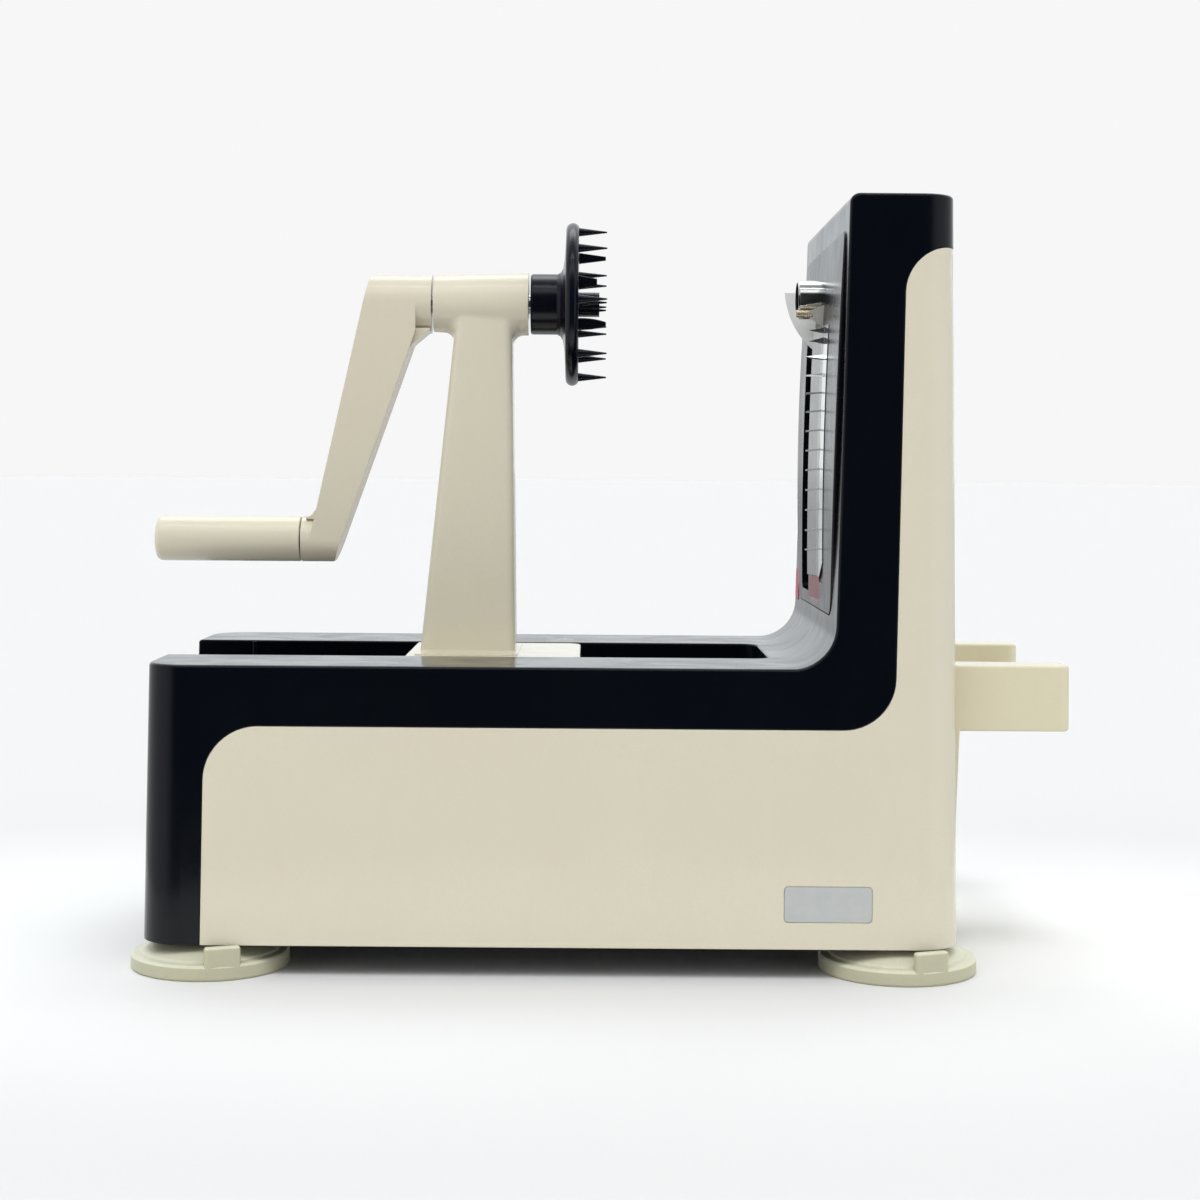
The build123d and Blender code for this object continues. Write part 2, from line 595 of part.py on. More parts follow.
with BuildPart() as crank_post:
    with BuildSketch(Plane.XY.offset(sled_top)):
        with Locations((-51.7, 0)):
            RectangleRounded(38.6, 24.0, 3.2)
    with BuildSketch(Plane.XY.offset(256.0)):
        with Locations((-46.0, 0)):
            RectangleRounded(22.4, 21.6, 3.2)
    loft()
    with BuildSketch(Plane.XZ):
        with BuildLine():
            Polyline(
                (barrel_x0, axis_z), (barrel_x0, axis_z + barrel_r0), (barrel_x1, axis_z + barrel_r1),
                (barrel_x1, axis_z), close=True,
            )
        make_face()
    revolve(axis=Axis((0, 0, axis_z), (1, 0, 0)))
    joint = [
        e for e in crank_post.edges()
        if 235 < e.center().Z < axis_z + 3 and barrel_x0 + 2 < e.center().X < barrel_x1 - 2
        and e.geom_type not in (GeomType.LINE,)
    ]
    fillet(joint, 4.5)
    with BuildSketch(Plane.XY.offset(sled_top)):
        with Locations((-51.5, 0)):
            RectangleRounded(41.2, 58.0, 3.0)
    extrude(amount=0.4)
    # bore, with a seat for a bush at each end
    with Locations(Plane(origin=((barrel_x0 + barrel_x1) / 2, 0, axis_z), x_dir=(0, 1, 0), z_dir=(1, 0, 0))):
        Cylinder(shaft_r + 1.0, 60, mode=Mode.SUBTRACT)
    for bx, sgn in ((barrel_x0, 1), (barrel_x1, -1)):
        with Locations(Plane(origin=(bx, 0, axis_z), x_dir=(0, 1, 0), z_dir=(sgn, 0, 0))):
            Cylinder(bush_r, 12, align=(Align.CENTER, Align.CENTER, Align.MIN), mode=Mode.SUBTRACT)
    with Locations(*[(x, y, sled_top) for x in (-66.0, -36.0) for y in (-8.0, 8.0)]):
        Cylinder(1.4, 24, mode=Mode.SUBTRACT)
save(crank_post.part, "crank_post")

with BuildPart() as sled_screws:
    for x in (-66.0, -36.0):
        for y in (-8.0, 8.0):
            with Locations((x, y, 103.9)):
                Cylinder(1.35, 22, align=(Align.CENTER, Align.CENTER, Align.MIN))
                Cylinder(3.2, 2.0, align=(Align.CENTER, Align.CENTER, Align.MAX))
save(sled_screws.part, "sled_screws")

for name, bx, sgn in (("shaft_bush_crank_side", barrel_x0, 1), ("shaft_bush_disc_side", barrel_x1, -1)):
    with BuildPart() as bush:
        with Locations(Plane(origin=(bx, 0, axis_z), x_dir=(0, 1, 0), z_dir=(sgn, 0, 0))):
            Cylinder(bush_r, 11.5, align=(Align.CENTER, Align.CENTER, Align.MIN))
            Cylinder(shaft_r + running, 30, mode=Mode.SUBTRACT)
    save(bush.part, name)

# ---------------------------------------------------------------- crank
with BuildPart() as crank_shaft:
    with Locations(Plane(origin=(hub_x0 + 4, 0, axis_z), x_dir=(0, 1, 0), z_dir=(1, 0, 0))):
        Cylinder(shaft_r, -12.3 - (hub_x0 + 4), align=(Align.CENTER, Align.CENTER, Align.MIN))
    chamfer(crank_shaft.edges().filter_by(GeomType.CIRCLE), 0.5)
save(crank_shaft.part, "crank_shaft")

hub_top, lug_bot = axis_z + hub_r, grip_z - lug_r
arm_left = lambda z: -94.87 - (259.2 - z) * 0.2208
arm_right = lambda z: -76.0 - (240.1 - z) * 0.349


def arm_solid():
    """Hub, leaning arm and lug as one body, before it is split into casing and cover."""
    with BuildPart() as arm:
        with BuildSketch(Plane.XZ) as side:
            with BuildLine():
                Polyline(
                    (arm_left(hub_top), hub_top), (arm_right(axis_z - hub_r), hub_top),
                    (arm_right(axis_z - hub_r), axis_z - hub_r), (arm_right(lug_bot), lug_bot),
                    (arm_left(lug_bot), lug_bot), close=True,
                )
            make_face()
            v = side.vertices()
            fillet(v.sort_by_distance((arm_left(hub_top), hub_top))[0], 3.0)
            fillet(side.vertices().sort_by_distance((arm_right(lug_bot), lug_bot))[0], 1.5)
        extrude(amount=20, both=True)
        with BuildSketch(Plane.YZ.offset(-140)) as cheek:
            with Locations((0, axis_z)):
                Circle(hub_r)
            with Locations((0, grip_z)):
                Circle(lug_r)
            with BuildLine():
                Polyline((-hub_r, axis_z), (hub_r, axis_z), (lug_r, grip_z), (-lug_r, grip_z), close=True)
            make_face()
        extrude(amount=100, mode=Mode.INTERSECT)
        with BuildSketch(Plane.XZ):
            with BuildLine():
                Polyline((-88, axis_z), (hub_x1, axis_z), (hub_x1, hub_top), (-88, hub_top), close=True)
            make_face()
        revolve(axis=Axis((0, 0, axis_z), (1, 0, 0)))
        with BuildSketch(Plane.XZ):
            with BuildLine():
                Polyline((lug_x0, grip_z), (-110, grip_z), (-110, grip_z + lug_r), (lug_x0, grip_z + lug_r), close=True)
            make_face()
        revolve(axis=Axis((0, 0, grip_z), (1, 0, 0)))
        # hollow corners under the hub and above the lug are filled with a curved web
        z1, z2 = axis_z - hub_r, grip_z + lug_r
        x1, x2 = arm_right(z1), arm_left(z2)
        with BuildSketch(Plane.XZ):
            with BuildLine():
                web = Spline([(x1 + 5.6, z1), (x1 + 3.0, z1 - 1.5), (x1 + 0.9, z1 - 3.3), (arm_right(z1 - 7.5), z1 - 7.5)], tangents=[(-1, -0.12), (-0.33, -0.94)])
                Polyline(web @ 1, (x1 - 5.0, z1 - 7.5), (x1 - 5.0, z1 + 1.2), (x1 + 5.6, z1 + 1.2), web @ 0)
            make_face()
        extrude(amount=hub_r - 3.4, both=True)
        with BuildSketch(Plane.XZ):
            with BuildLine():
                web = Spline([(x2 - 3.9, z2), (x2 - 0.4, z2 + 2.2), (arm_left(z2 + 6.0), z2 + 6.0)], tangents=[(1, 0.02), (0.22, 0.97)])
                Polyline(web @ 1, (x2 + 5.0, z2 + 6.0), (x2 + 5.0, z2 - 1.0), (x2 - 3.9, z2 - 1.0), web @ 0)
            make_face()
        extrude(amount=lug_r - 3.0, both=True)
    return arm.part


full_arm = arm_solid()
cover_y = 2.4
with BuildPart() as arm_pocket:
    with BuildSketch(Plane.XZ.offset(-cover_y)) as pk:
        with BuildLine():
            Polyline(
                (arm_left(241), 241), (arm_right(241), 241), (arm_right(176), 176), (arm_left(176), 176), close=True,
            )
        make_face()
        offset(amount=-3.2)
    extrude(amount=10.2)

with BuildPart() as cover_slab:
    with BuildSketch(Plane.XZ.offset(-cover_y)):
        with Locations((-95, (176 + 241) / 2)):
            Rectangle(80, 241 - 176)
    extrude(amount=-30)

with BuildPart() as crank_arm:
    add(full_arm)
    add(cover_slab.part, mode=Mode.SUBTRACT)
    add(arm_pocket.part, mode=Mode.SUBTRACT)
    with Locations(Plane(origin=(hub_x0 + 4, 0, axis_z), x_dir=(0, 1, 0), z_dir=(1, 0, 0))):
        Cylinder(shaft_r, 40, align=(Align.CENTER, Align.CENTER, Align.MIN), mode=Mode.SUBTRACT)
    with Locations(Plane(origin=(lug_x0 - 2, 0, grip_z), x_dir=(0, 1, 0), z_dir=(1, 0, 0))):
        Cylinder(shaft_r, 14, align=(Align.CENTER, Align.CENTER, Align.MIN), mode=Mode.SUBTRACT)
save(crank_arm.part, "crank_arm")

with BuildPart() as crank_arm_cover:
    add(full_arm)
    add(cover_slab.part, mode=Mode.INTERSECT)
    with BuildSketch(Plane.XZ.offset(-cover_y)):
        with Locations((-95, (176 + 241) / 2)):
            Rectangle(90, 241 - 176 + 10)
    extrude(amount=-0.2, mode=Mode.SUBTRACT)
save(crank_arm_cover.part, "crank_arm_cover")

with BuildPart() as grip_pin:
    with Locations(Plane(origin=(grip_x0 + 7.5, 0, grip_z), x_dir=(0, 1, 0), z_dir=(1, 0, 0))):
        Cylinder(shaft_r, -109.3 - (grip_x0 + 7.5), align=(Align.CENTER, Align.CENTER, Align.MIN))
        Cylinder(5.6, 2.0, align=(Align.CENTER, Align.CENTER, Align.MAX))
save(grip_pin.part, "grip_pin")

# ---------------------------------------------------------------- prong disc
with BuildPart() as prong_disc:
    with BuildSketch(Plane.XZ) as prof:
        with BuildLine():
            z = axis_z
            Polyline(
                (disc_front, z), (disc_hub_x, z), (disc_hub_x, z + disc_hub_r - 0.6),
                (disc_hub_x + 0.6, z + disc_hub_r), (-16.6, z + disc_hub_r), (-15.2, z + 13.1), (-14.2, z + 14.8),
                (-13.6, z + 18.5), (-13.1, z + 26.0), (-12.9, z + 31.2),
            )
            ThreePointArc((-12.9, z + 31.2), (-10.7, z + disc_r), (-8.4, z + 32.6))
            Polyline((-8.4, z + 32.6), (disc_front, z + 31.9), (disc_front, z))
        make_face()
    revolve(axis=Axis((0, 0, axis_z), (1, 0, 0)))
    for i in range(8):
        t = 2 * pi * i / 8
        at = (disc_front - 0.3, prong_ring * sin(t), axis_z + prong_ring * cos(t))
        if i == 1:
            # one of the outer prongs is a blunt fin
            base = Plane(origin=at, x_dir=(0, 1, 0), z_dir=(1, 0, 0))
            with BuildSketch(base):
                Rectangle(2.2, 4.6)
            with BuildSketch(base.offset(prong_len)):
                Rectangle(0.8, 1.6)
            loft()
            continue
        with Locations(Plane(origin=at, x_dir=(0, 1, 0), z_dir=(1, 0, 0))):
            Cone(1.8, 0.3, prong_len + 0.3, align=(Align.CENTER, Align.CENTER, Align.MIN))
    for i in range(8):
        t = 2 * pi * i / 8
        base = Plane(origin=(disc_front - 0.3, prong_inner * sin(t), axis_z + prong_inner * cos(t)), x_dir=(0, 1, 0), z_dir=(1, 0, 0))
        if i in (5, 7):
            # a leaf-shaped driving fin, and a short blunt one
            wide, tip, length = ((2.0, 4.7), (0.9, 1.7), prong_len) if i == 5 else ((2.2, 5.8), (1.0, 2.9), 7.8)
            with BuildSketch(base):
                RectangleRounded(*wide, 0.6)
            if i == 5:
                with BuildSketch(base.offset(length * 0.62)):
                    RectangleRounded(1.5, 3.9, 0.5)
            with BuildSketch(base.offset(length)):
                RectangleRounded(*tip, 0.3)
            loft()
        else:
            with Locations(base):
                Cone(1.6, 0.3, prong_len + 0.3, align=(Align.CENTER, Align.CENTER, Align.MIN))
    with Locations(Plane(origin=(disc_front - 0.3, 0, axis_z), x_dir=(0, 1, 0), z_dir=(1, 0, 0))):
        Cylinder(5.0, 8.8, align=(Align.CENTER, Align.CENTER, Align.MIN))
    # seat for the shaft
    with Locations(Plane(origin=(disc_hub_x - 1, 0, axis_z), x_dir=(0, 1, 0), z_dir=(1, 0, 0))):
        Cylinder(shaft_r, -12.3 - disc_hub_x + 1, align=(Align.CENTER, Align.CENTER, Align.MIN), mode=Mode.SUBTRACT)
save(prong_disc.part, "prong_disc")

# ---------------------------------------------------------------- grip
with BuildPart() as handle_grip:
    with BuildSketch(Plane.XZ) as prof:
        with BuildLine():
            Polyline((grip_x0, grip_z), (grip_x1, grip_z), (grip_x1, grip_z + lug_r), (grip_x0, grip_z + lug_r), close=True)
        make_face()
        fillet(prof.vertices().sort_by_distance((grip_x0, grip_z + lug_r))[0], 2.6)
        fillet(prof.vertices().sort_by_distance((grip_x1, grip_z + lug_r))[0], 0.5)
    revolve(axis=Axis((0, 0, grip_z), (1, 0, 0)))
    with Locations(Plane(origin=(grip_x0 + 1, 0, grip_z), x_dir=(0, 1, 0), z_dir=(1, 0, 0))):
        Cylinder(shaft_r + running, 70, align=(Align.CENTER, Align.CENTER, Align.MIN), mode=Mode.SUBTRACT)
    with Locations(Plane(origin=(grip_x0 - 1, 0, grip_z), x_dir=(0, 1, 0), z_dir=(1, 0, 0))):
        Cylinder(6.2, 1 + 8.0, align=(Align.CENTER, Align.CENTER, Align.MIN), mode=Mode.SUBTRACT)
save(handle_grip.part, "handle_grip")

with BuildPart() as grip_cap:
    with Locations(Plane(origin=(grip_x0 + 0.1, 0, grip_z), x_dir=(0, 1, 0), z_dir=(1, 0, 0))):
        Cylinder(6.2, 3.0, align=(Align.CENTER, Align.CENTER, Align.MIN))
    chamfer(grip_cap.edges().filter_by(GeomType.CIRCLE).sort_by(Axis.X)[0], 0.4)
save(grip_cap.part, "grip_cap")
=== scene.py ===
import math

import bmesh
import bpy
from mathutils import Matrix, Vector


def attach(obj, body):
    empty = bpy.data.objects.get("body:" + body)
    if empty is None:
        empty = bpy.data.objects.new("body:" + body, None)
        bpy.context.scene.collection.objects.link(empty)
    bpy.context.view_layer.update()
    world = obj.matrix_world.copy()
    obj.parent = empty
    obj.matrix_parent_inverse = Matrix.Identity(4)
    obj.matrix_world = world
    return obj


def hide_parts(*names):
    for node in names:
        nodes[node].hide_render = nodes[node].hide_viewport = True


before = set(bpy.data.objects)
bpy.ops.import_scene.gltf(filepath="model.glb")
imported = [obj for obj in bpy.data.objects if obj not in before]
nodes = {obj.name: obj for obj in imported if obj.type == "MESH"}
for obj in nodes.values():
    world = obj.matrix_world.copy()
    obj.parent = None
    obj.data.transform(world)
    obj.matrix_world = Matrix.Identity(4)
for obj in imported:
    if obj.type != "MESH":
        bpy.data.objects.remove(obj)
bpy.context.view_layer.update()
scene = bpy.context.scene


# ------------------------------------------------------------------ node helpers
def new_material(name):
    m = bpy.data.materials.new(name)
    m.use_nodes = True
    m.node_tree.nodes.clear()
    out = m.node_tree.nodes.new("ShaderNodeOutputMaterial")
    bsdf = m.node_tree.nodes.new("ShaderNodeBsdfPrincipled")
    m.node_tree.links.new(bsdf.outputs["BSDF"], out.inputs["Surface"])
    return m, m.node_tree, bsdf


def put(nt, socket, value):
    """Links or sets an input."""
    if isinstance(value, bpy.types.NodeSocket):
        nt.links.new(value, socket)
    elif isinstance(value, (tuple, list)) and len(value) == 3 and socket.type == "RGBA":
        socket.default_value = (*value, 1.0)
    else:
        socket.default_value = value


def math_node(nt, op, a, b=0.0, c=0.0, clamp=False):
    n = nt.nodes.new("ShaderNodeMath")
    n.operation = op
    n.use_clamp = clamp
    for s, v in zip(n.inputs, (a, b, c)):
        put(nt, s, v)
    return n.outputs[0]


def ramp(nt, value, lo, hi, out_lo=0.0, out_hi=1.0, kind="SMOOTHSTEP"):
    n = nt.nodes.new("ShaderNodeMapRange")
    n.interpolation_type = kind
    for key, v in (("Value", value), ("From Min", lo), ("From Max", hi), ("To Min", out_lo), ("To Max", out_hi)):
        put(nt, n.inputs[key], v)
    return n.outputs["Result"]


def mix(nt, fac, a, b, mode="MIX"):
    n = nt.nodes.new("ShaderNodeMix")
    n.data_type = "RGBA"
    n.blend_type = mode
    n.clamp_factor = True
    put(nt, n.inputs["Factor"], fac)
    put(nt, n.inputs[6], a)
    put(nt, n.inputs[7], b)
    return n.outputs[2]


def place(nt, scale=(1, 1, 1), rotate=(0, 0, 0), shift=(0, 0, 0)):
    """Object coordinates, in metres, scaled and turned."""
    tc = nt.nodes.new("ShaderNodeTexCoord")
    mp = nt.nodes.new("ShaderNodeMapping")
    mp.inputs["Scale"].default_value = scale
    mp.inputs["Rotation"].default_value = rotate
    mp.inputs["Location"].default_value = shift
    nt.links.new(tc.outputs["Object"], mp.inputs["Vector"])
    return mp.outputs["Vector"]


def noise(nt, vec, scale, detail=2.0, rough=0.5, distort=0.0):
    n = nt.nodes.new("ShaderNodeTexNoise")
    n.inputs["Scale"].default_value = scale
    n.inputs["Detail"].default_value = detail
    n.inputs["Roughness"].default_value = rough
    n.inputs["Distortion"].default_value = distort
    nt.links.new(vec, n.inputs["Vector"])
    return n.outputs["Fac"]


def bump(nt, height, distance, strength=1.0, normal=None):
    n = nt.nodes.new("ShaderNodeBump")
    n.inputs["Strength"].default_value = strength
    n.inputs["Distance"].default_value = distance
    put(nt, n.inputs["Height"], height)
    if normal is not None:
        nt.links.new(normal, n.inputs["Normal"])
    return n.outputs["Normal"]


def soft_edge(nt, radius):
    """A rounded normal along edges, and a mask that is 1 on them."""
    bev = nt.nodes.new("ShaderNodeBevel")
    bev.samples = 4
    bev.inputs["Radius"].default_value = radius
    geo = nt.nodes.new("ShaderNodeNewGeometry")
    dot = nt.nodes.new("ShaderNodeVectorMath")
    dot.operation = "DOT_PRODUCT"
    nt.links.new(bev.outputs["Normal"], dot.inputs[0])
    nt.links.new(geo.outputs["Normal"], dot.inputs[1])
    return bev.outputs["Normal"], ramp(nt, dot.outputs["Value"], 0.995, 0.90)


# ------------------------------------------------------------------ materials
def moulded(name, base, tint, rough=0.34, grain=0.000012, edge=0.0005, edge_wear_highlight_gain=0.10, speck=0.0, coat=0.0, spec=0.5, wave_height=0.000012, extra=None):
    """Moulded plastic: faint flow mottling, spark-eroded grain, slightly wavy faces, and edges painted lighter, partly
    rubbed wear and partly painted highlight.
    """
    m, nt, b = new_material(name)
    vec = place(nt)
    broad = noise(nt, vec, 11.0, 3.0, 0.55, 0.6)
    flow = noise(nt, place(nt, scale=(1.0, 1.0, 0.35)), 55.0, 4.0, 0.6, 1.2)
    fine = noise(nt, vec, 1500.0, 2.0, 0.6)
    mottled = mix(nt, ramp(nt, broad, 0.30, 0.70), base, tint)
    mottled = mix(nt, ramp(nt, flow, 0.35, 0.75, 0.0, 0.35), mottled, [c * 0.972 for c in base])
    mottled = mix(nt, ramp(nt, fine, 0.35, 0.65, 0.0, 0.5), mottled, [c * 0.97 for c in base])
    # painted highlight mixed with wear: the colour is lightened along edges, broken up by noise
    edge_normal, rim = soft_edge(nt, edge)
    wear_highlight_breakup = noise(nt, vec, 260.0, 3.0, 0.6)
    rim = math_node(nt, "MULTIPLY", rim, ramp(nt, wear_highlight_breakup, 0.3, 0.7, 0.35, 1.0))
    wear_and_highlight_tint = [min(1.0, c + edge_wear_highlight_gain * (0.25 + c)) for c in base]
    colour = mix(nt, math_node(nt, "MULTIPLY", rim, 0.55), mottled, wear_and_highlight_tint)
    if speck:
        dust = nt.nodes.new("ShaderNodeTexVoronoi")
        dust.inputs["Scale"].default_value = 90.0
        nt.links.new(vec, dust.inputs["Vector"])
        colour = mix(nt, ramp(nt, dust.outputs["Distance"], 0.035, 0.02, 0.0, speck), colour, [c * 0.6 for c in base])
    if extra:
        colour = extra(nt, colour)
    put(nt, b.inputs["Base Color"], colour)
    smudge = noise(nt, place(nt, scale=(1.0, 1.3, 0.7)), 32.0, 4.0, 0.62, 0.8)
    r = ramp(nt, smudge, 0.3, 0.72, rough - 0.035, rough + 0.05)
    r = math_node(nt, "ADD", r, ramp(nt, fine, 0.3, 0.7, -0.02, 0.02))
    put(nt, b.inputs["Roughness"], r)
    wave = noise(nt, vec, 24.0, 1.0, 0.4)
    n1 = bump(nt, wave, wave_height, 1.0, edge_normal)
    n2 = bump(nt, fine, grain, 1.0, n1)
    nt.links.new(n2, b.inputs["Normal"])
    b.inputs["IOR"].default_value = 1.5
    b.inputs["Specular IOR Level"].default_value = spec
    b.inputs["Coat Weight"].default_value = coat
    b.inputs["Coat Roughness"].default_value = 0.12
    return m


def box_mask(nt, lo, hi, soft):
    """1 inside a box of the row frame, falling off over soft metres outside it."""
    tc = nt.nodes.new("ShaderNodeTexCoord")
    sp = nt.nodes.new("ShaderNodeSeparateXYZ")
    nt.links.new(tc.outputs["Object"], sp.inputs[0])
    total = None
    for axis in range(3):
        up = ramp(nt, sp.outputs[axis], lo[axis] - soft[axis], lo[axis])
        down = ramp(nt, sp.outputs[axis], hi[axis] + soft[axis], hi[axis])
        both = math_node(nt, "MULTIPLY", up, down)
        total = both if total is None else math_node(nt, "MULTIPLY", total, both)
    return total


def red_rub(nt, colour):
    """The insert's foot has a soft red stain beside the red mark."""
    m = box_mask(nt, (0.080, -0.016, 0.1385), (0.0915, 0.008, 0.147), (0.002, 0.011, 0.003))
    blot = noise(nt, place(nt), 220.0, 3.0, 0.6)
    return mix(nt, math_node(nt, "MULTIPLY", m, ramp(nt, blot, 0.25, 0.75, 0.55, 0.95)), colour, (0.34, 0.035, 0.04))


cream = moulded("cream_plastic", (0.695, 0.644, 0.512), (0.707, 0.664, 0.516), rough=0.13, grain=0.000004, edge_wear_highlight_gain=0.30)


def painted_flank_shade(nt, colour):
    """Painted shade: faces towards +X get a warmer, darker tone from the way they face, standing in for how light
    falls on that side.
    """
    geo = nt.nodes.new("ShaderNodeNewGeometry")
    sp = nt.nodes.new("ShaderNodeSeparateXYZ")
    nt.links.new(geo.outputs["Normal"], sp.inputs[0])
    return mix(nt, ramp(nt, sp.outputs[0], 0.80, 0.93, 0.0, 0.8), colour, (0.62, 0.46, 0.26))


# the arm's material carries painted shade on its faces towards +X
cream_arm = moulded("cream_plastic_arm", (0.685, 0.630, 0.500), (0.695, 0.650, 0.505), rough=0.13, grain=0.000004, edge_wear_highlight_gain=0.30, extra=painted_flank_shade)
navy = moulded("navy_plastic", (0.0016, 0.0026, 0.0050), (0.0022, 0.0034, 0.0062), rough=0.17, grain=0.000006, edge_wear_highlight_gain=0.02, spec=0.28)
cream_handle = moulded("cream_plastic_handle", (0.705, 0.648, 0.470), (0.715, 0.664, 0.476), rough=0.16, grain=0.000004, edge_wear_highlight_gain=0.30)
navy_disc = moulded("navy_plastic_disc", (0.0022, 0.0030, 0.0075), (0.0032, 0.0042, 0.0095), rough=0.20, grain=0.000006, edge_wear_highlight_gain=0.03, spec=0.36)
pale_fin = moulded("pale_fin", (0.86, 0.86, 0.84), (0.88, 0.88, 0.86), rough=0.22, grain=0.000004)
navy_insert = moulded("navy_plastic_insert", (0.0016, 0.0026, 0.0050), (0.0022, 0.0034, 0.0062), rough=0.25, grain=0.000008, edge_wear_highlight_gain=0.02, spec=0.4, extra=red_rub)
navy_matt = moulded("navy_plastic_matt", (0.010, 0.011, 0.015), (0.012, 0.014, 0.018), rough=0.5, grain=0.00003, edge_wear_highlight_gain=0.02)
nylon = moulded("natural_nylon", (0.70, 0.69, 0.62), (0.72, 0.71, 0.63), rough=0.42)


def soft_pvc(name):
    m, nt, b = new_material(name)
    vec = place(nt)
    cloud = noise(nt, vec, 45.0, 4.0, 0.6, 0.8)
    fine = noise(nt, vec, 900.0, 3.0, 0.6)
    colour = mix(nt, ramp(nt, cloud, 0.3, 0.7), (0.66, 0.65, 0.50), (0.71, 0.70, 0.545))
    colour = mix(nt, ramp(nt, fine, 0.4, 0.7, 0.0, 0.35), colour, (0.60, 0.59, 0.45))
    # painted shade: the colour is darkened where the AO node finds nearby faces, in creases and low at the feet
    ao = nt.nodes.new("ShaderNodeAmbientOcclusion")
    ao.inputs["Distance"].default_value = 0.007
    ao.samples = 4
    colour = mix(nt, ramp(nt, ao.outputs["AO"], 0.75, 0.25, 0.0, 0.35), colour, (0.33, 0.30, 0.19))
    # painted shade: upright faces are darkened by the way they face, standing in for the dim light they get from low
    # in front
    geo = nt.nodes.new("ShaderNodeNewGeometry")
    sp = nt.nodes.new("ShaderNodeSeparateXYZ")
    nt.links.new(geo.outputs["Normal"], sp.inputs[0])
    upright_painted_shade = ramp(nt, math_node(nt, "ABSOLUTE", sp.outputs[2]), 0.62, 0.15, 0.0, 0.75)
    colour = mix(nt, upright_painted_shade, colour, (0.47, 0.455, 0.315))
    put(nt, b.inputs["Base Color"], colour)
    put(nt, b.inputs["Roughness"], ramp(nt, noise(nt, vec, 120.0, 4.0, 0.6), 0.3, 0.7, 0.36, 0.50))
    edge_normal, rim = soft_edge(nt, 0.0005)
    n1 = bump(nt, noise(nt, vec, 70.0, 2.0, 0.5), 0.00012, 1.0, edge_normal)
    nt.links.new(bump(nt, fine, 0.00002, 1.0, n1), b.inputs["Normal"])
    b.inputs["Subsurface Weight"].default_value = 0.35
    b.inputs["Subsurface Radius"].default_value = (0.0035, 0.0032, 0.0018)
    b.inputs["Subsurface Scale"].default_value = 1.0
    return m


pvc = soft_pvc("soft_pvc")


def steel(name, base, rough, stretch, lines=0.000004, metallic=1.0):
    """Ground or polished metal with fine lines along one axis."""
    m, nt, b = new_material(name)
    b.inputs["Metallic"].default_value = metallic
    lines_tex = noise(nt, place(nt, scale=stretch), 1.0, 3.0, 0.65)
    cloud = noise(nt, place(nt), 60.0, 3.0, 0.6)
    colour = mix(nt, ramp(nt, cloud, 0.3, 0.7), base, [c * 0.93 for c in base])
    colour = mix(nt, ramp(nt, lines_tex, 0.4, 0.8, 0.0, 0.4), colour, [c * 0.82 for c in base])
    put(nt, b.inputs["Base Color"], colour)
    r = ramp(nt, lines_tex, 0.3, 0.75, rough * 0.75, rough * 1.35)
    put(nt, b.inputs["Roughness"], math_node(nt, "ADD", r, ramp(nt, cloud, 0.35, 0.75, -0.02, 0.04)))
    edge_normal, rim = soft_edge(nt, 0.00025)
    nt.links.new(bump(nt, lines_tex, lines, 1.0, edge_normal), b.inputs["Normal"])
    return m


blade_steel = steel("ground_steel", (0.78, 0.78, 0.77), 0.13, (2600.0, 2600.0, 70.0))
tube_steel = steel("turned_steel", (0.80, 0.80, 0.78), 0.09, (3200.0, 90.0, 90.0))
shaft_steel = steel("turned_shaft", (0.66, 0.66, 0.66), 0.2, (2600.0, 60.0, 60.0), 0.000008)
zinc = steel("zinc_plate", (0.60, 0.62, 0.66), 0.28, (700.0, 700.0, 700.0), 0.00001)
thin_steel = steel("ground_steel_dark", (0.34, 0.34, 0.33), 0.22, (2600.0, 2600.0, 70.0))
satin_steel = steel("satin_steel", (0.84, 0.83, 0.76), 0.36, (2600.0, 2600.0, 70.0), metallic=0.55)
brass = steel("plain_brass", (0.82, 0.71, 0.50), 0.26, (2600.0, 90.0, 90.0), metallic=0.7)


def foil(name):
    m, nt, b = new_material(name)
    vec = place(nt)
    cloud = noise(nt, vec, 160.0, 4.0, 0.6)
    grainy = noise(nt, place(nt, scale=(1.0, 1.0, 5.0)), 2200.0, 2.0, 0.6)
    colour = mix(nt, ramp(nt, cloud, 0.3, 0.7), (0.575, 0.592, 0.588), (0.62, 0.628, 0.612))
    colour = mix(nt, ramp(nt, grainy, 0.35, 0.7, 0.0, 0.4), colour, (0.53, 0.56, 0.57))
    put(nt, b.inputs["Base Color"], colour)
    put(nt, b.inputs["Roughness"], ramp(nt, grainy, 0.3, 0.7, 0.34, 0.5))
    b.inputs["Metallic"].default_value = 0.35
    edge_normal, rim = soft_edge(nt, 0.0003)
    nt.links.new(bump(nt, grainy, 0.00001, 1.0, edge_normal), b.inputs["Normal"])
    return m


def paint(name, base):
    m, nt, b = new_material(name)
    vec = place(nt)
    patch = noise(nt, vec, 400.0, 4.0, 0.65)
    put(nt, b.inputs["Base Color"], mix(nt, ramp(nt, patch, 0.3, 0.7), base, [c * 0.72 for c in base]))
    put(nt, b.inputs["Roughness"], ramp(nt, patch, 0.3, 0.7, 0.3, 0.48))
    nt.links.new(bump(nt, patch, 0.00003), b.inputs["Normal"])
    return m


plate_foil = foil("satin_foil")
red = paint("red_paint", (0.62, 0.022, 0.03))

